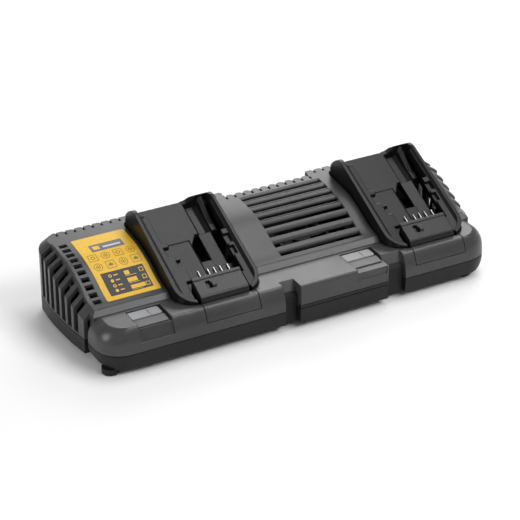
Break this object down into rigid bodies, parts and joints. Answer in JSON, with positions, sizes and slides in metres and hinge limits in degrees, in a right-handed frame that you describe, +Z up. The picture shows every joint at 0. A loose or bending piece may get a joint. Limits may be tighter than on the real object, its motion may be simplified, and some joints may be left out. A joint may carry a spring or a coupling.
{
  "type": "power tool battery charger",
  "caption": "Long dual-dock bench charger for slide-in power tool battery packs, with sloped cradles, a ribbed casing, a louvred top and rubber feet.",
  "frame": {"origin": "on the ground under the middle of the casing's bounding box", "axes": "+X along the length to the right seen from the front, +Y to the rear, +Z up"},
  "size_m": [0.3916, 0.1442, 0.0887],
  "materials": {
    "housing_charcoal": "matte, fine texture",
    "housing_base": "matte, fine texture",
    "dock_black": "satin",
    "terminal_housing": "satin",
    "terminal_metal": "bright plated",
    "lens_grey": "satin, translucent",
    "plate_grey": "satin",
    "label_yellow": "satin print",
    "foot_rubber": "matte",
    "gland_rubber": "matte",
    "board_green": "solder mask",
    "ferrite": "matte ceramic",
    "winding_tape": "polyester tape",
    "capacitor_can": "shrink sleeve",
    "choke_core": "painted ferrite",
    "fuse_body": "ceramic and caps",
    "heatsink_metal": "extruded",
    "relay_case": "satin",
    "led_epoxy": "clear tinted",
    "fan_plastic": "satin",
    "screw_steel": "zinc plated",
    "screw_black": "black oxide"
  },
  "bodies": {
    "charger": {"upper_housing": "housing_charcoal", "lower_housing": "housing_base", "left_dock": "dock_black", "right_dock": "dock_black", "left_terminal_block": "terminal_housing", "right_terminal_block": "terminal_housing", "left_terminal_blades": "terminal_metal", "right_terminal_blades": "terminal_metal", "left_terminal_board": "board_green", "right_terminal_board": "board_green", "left_indicator_lens": "lens_grey", "right_indicator_lens": "lens_grey", "left_indicator_plate": "plate_grey", "right_indicator_plate": "plate_grey", "info_label": "label_yellow", "foot_front_left": "foot_rubber", "foot_front_mid_left": "foot_rubber", "foot_front_mid_right": "foot_rubber", "foot_front_right": "foot_rubber", "foot_rear_left": "foot_rubber", "foot_rear_right": "foot_rubber", "cord_gland": "gland_rubber", "main_circuit_board": "board_green", "transformer_core": "ferrite", "transformer_winding": "winding_tape", "bulk_capacitors": "capacitor_can", "mains_filter_choke": "choke_core", "fuse": "fuse_body", "primary_heatsink": "heatsink_metal", "secondary_heatsink": "heatsink_metal", "power_relays": "relay_case", "output_capacitors": "capacitor_can", "status_leds": "led_epoxy", "fan_frame": "fan_plastic", "housing_screws": "screw_steel", "dock_screws": "screw_steel", "board_screws": "screw_steel", "fan_screws": "screw_black"},
    "fan_rotor_body": {"fan_rotor": "fan_plastic"}
  },
  "joints": [
    {"name": "fan_spin", "type": "hinge", "parent": "charger", "child": "fan_rotor_body", "pos_m": [0.0395, 0.013, 0.034], "axis": [0, 0, 1], "continuous": true}
  ]
}
